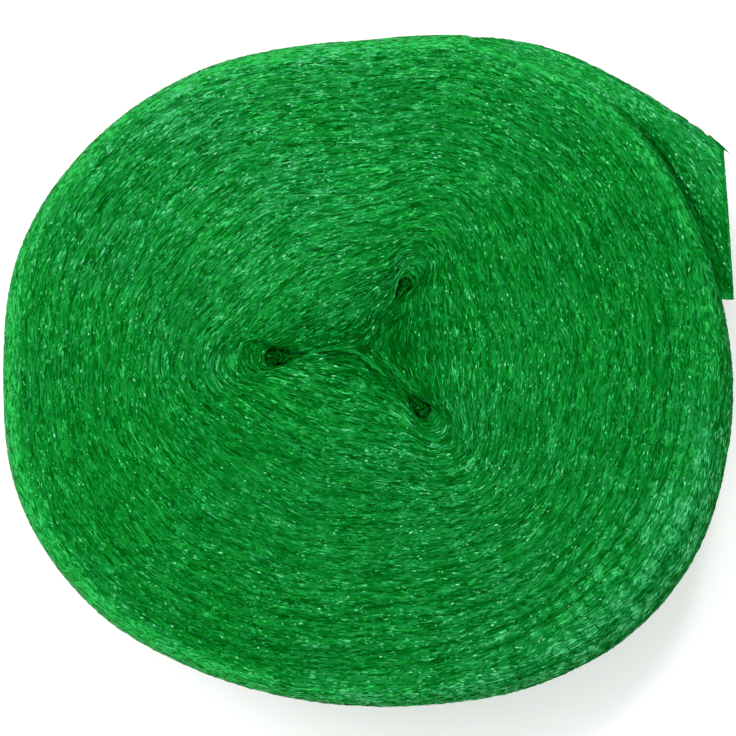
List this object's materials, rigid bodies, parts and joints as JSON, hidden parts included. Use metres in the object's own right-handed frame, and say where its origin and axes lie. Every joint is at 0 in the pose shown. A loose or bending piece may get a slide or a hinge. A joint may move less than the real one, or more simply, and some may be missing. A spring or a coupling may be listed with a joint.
{
  "type": "bird netting roll",
  "caption": "Roll of green knitted garden netting lying on its end, wound round a Y-shaped core, its outer end loose.",
  "frame": {"origin": "bottom centre of the bounding box, on the flat end that the roll lies on", "axes": "+Z along the winding axis, up from the end that it lies on; +X along the overall width; the loose end lies towards +X and +Y"},
  "size_m": [0.2997, 0.2749, 0.1223],
  "materials": {
    "netting": "glossy strands of extruded green polyethylene in a knitted mesh"
  },
  "bodies": {
    "root": {"wound_roll": "netting", "loose_end": "netting"}
  },
  "joints": []
}
